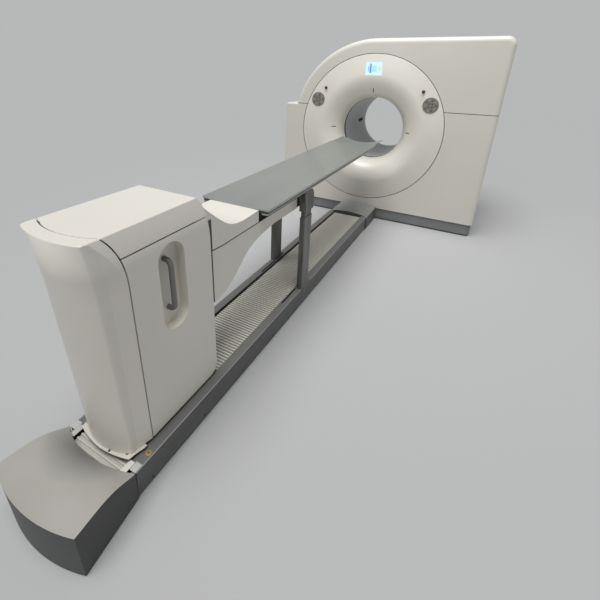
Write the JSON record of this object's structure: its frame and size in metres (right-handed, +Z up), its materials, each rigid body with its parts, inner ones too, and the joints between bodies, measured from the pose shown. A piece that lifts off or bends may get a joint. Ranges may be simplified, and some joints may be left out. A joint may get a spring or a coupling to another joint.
{
  "type": "pet-ct scanner",
  "caption": "Combined PET-CT scanner with a round bore, a gantry in white covers and a patient bed that travels on a long floor base between support posts",
  "frame": {"origin": "on the floor under the bore's axis, in the plane of the gantry's front", "axes": "+X to the right seen from the bed, +Y into the bore along the bed's travel, +Z up"},
  "size_m": [2.312, 5.33, 1.993],
  "materials": {
    "cover_white": "painted moulded covers, satin gloss",
    "plinth_grey": "textured grey moulding",
    "rail_grey": "grey powder coat",
    "slat_grey": "ribbed light grey plastic",
    "post_grey": "worn grey powder coat",
    "pallet_grey": "smooth grey-green skin over carbon fibre",
    "liner_grey": "smooth grey liner",
    "window_black": "black scan window",
    "frame_steel": "painted steel frame",
    "bright_steel": "ground steel",
    "cast_alloy": "cast and machined alloy",
    "handle_grey": "grey grip",
    "screen": "lit screen",
    "panel_brown": "grey-brown membrane panel",
    "stop_red": "red button",
    "laser_dark": "dark laser window",
    "detector_metal": "anodised detector modules",
    "roller_dark": "dark roller"
  },
  "bodies": {
    "base": {"gantry_base": "frame_steel", "dock_plate": "frame_steel", "plinth_band": "plinth_grey", "front_lower_cover": "cover_white", "front_upper_cover": "cover_white", "front_ring_cover": "cover_white", "left_side_cover": "cover_white", "right_side_cover": "cover_white", "gantry_top_cover": "cover_white", "rear_cover": "cover_white", "rear_ring_cover": "cover_white", "scan_window": "window_black", "bore_liner": "liner_grey", "bore_rear_ring": "liner_grey", "display_panel": "screen", "key_panels": "panel_brown", "stop_collars": "handle_grey", "laser_windows": "laser_dark", "ct_stand": "cast_alloy", "main_bearing": "bright_steel", "pet_detector_ring": "detector_metal", "pet_stand": "cast_alloy", "bed_chassis": "frame_steel", "guide_rails": "bright_steel", "drive_spine": "cast_alloy", "slat_cover": "slat_grey", "side_rail_left": "rail_grey", "side_rail_right": "rail_grey", "gantry_hood": "plinth_grey", "end_cap": "plinth_grey", "support_post_left": "post_grey", "support_post_right": "post_grey"},
    "rotor": {"rotor_drum": "cast_alloy", "xray_tube": "frame_steel", "detector_arc": "frame_steel"},
    "carriage": {"carriage_frame": "frame_steel", "bearing_blocks": "bright_steel", "drive_coils": "cast_alloy", "tower_end_cover": "cover_white", "tower_top_cover": "cover_white", "door_left": "cover_white", "door_right": "cover_white", "grab_handles": "handle_grey", "skirt_ring": "cover_white", "mast": "frame_steel", "tower_front_panel": "frame_steel"},
    "lift": {"lift_slide": "cast_alloy", "arm_core": "cast_alloy", "arm_cover": "cover_white", "beam_end_block": "roller_dark", "tray_cover": "cover_white", "pallet": "pallet_grey", "head_cradle": "pallet_grey", "pallet_runners": "pallet_grey"},
    "stop_left": {"stop_button_left": "stop_red"},
    "stop_right": {"stop_button_right": "stop_red"},
    "head_left": {"post_head_left": "post_grey"},
    "head_right": {"post_head_right": "post_grey"},
    "roller_left": {"support_roller_left": "roller_dark"},
    "roller_right": {"support_roller_right": "roller_dark"}
  },
  "joints": [
    {"name": "carriage_travel", "type": "slide", "parent": "base", "child": "carriage", "axis": [0, 1, 0], "range_m": [0, 2]},
    {"name": "lift_travel", "type": "slide", "parent": "carriage", "child": "lift", "axis": [0, 0, 1], "range_m": [-0.13, 0]},
    {"name": "rotor_spin", "type": "hinge", "parent": "base", "child": "rotor", "pos_m": [0, 0.24, 1.043], "axis": [0, 1, 0], "continuous": true},
    {"name": "stop_left_press", "type": "slide", "parent": "base", "child": "stop_left", "axis": [0, 1, 0], "range_m": [0, 0.004], "stiffness_N_per_m": 900, "springref_m": -0.001},
    {"name": "stop_right_press", "type": "slide", "parent": "base", "child": "stop_right", "axis": [0, 1, 0], "range_m": [0, 0.004], "stiffness_N_per_m": 900, "springref_m": -0.001},
    {"name": "head_left_travel", "type": "slide", "parent": "base", "child": "head_left", "axis": [0, 0, 1], "range_m": [-0.13, 0]},
    {"name": "head_right_travel", "type": "slide", "parent": "base", "child": "head_right", "axis": [0, 0, 1], "range_m": [-0.13, 0]},
    {"name": "roller_left_spin", "type": "hinge", "parent": "head_left", "child": "roller_left", "pos_m": [-0.197, -1.826, 0.9247], "axis": [1, 0, 0], "continuous": true},
    {"name": "roller_right_spin", "type": "hinge", "parent": "head_right", "child": "roller_right", "pos_m": [0.197, -2.125, 0.9247], "axis": [1, 0, 0], "continuous": true}
  ],
  "couplings": [
    {"joint": "head_left_travel", "follows": "lift_travel", "ratio": 1},
    {"joint": "head_right_travel", "follows": "lift_travel", "ratio": 1},
    {"joint": "roller_left_spin", "follows": "carriage_travel", "rad_per_m": -50},
    {"joint": "roller_right_spin", "follows": "carriage_travel", "rad_per_m": -50}
  ]
}
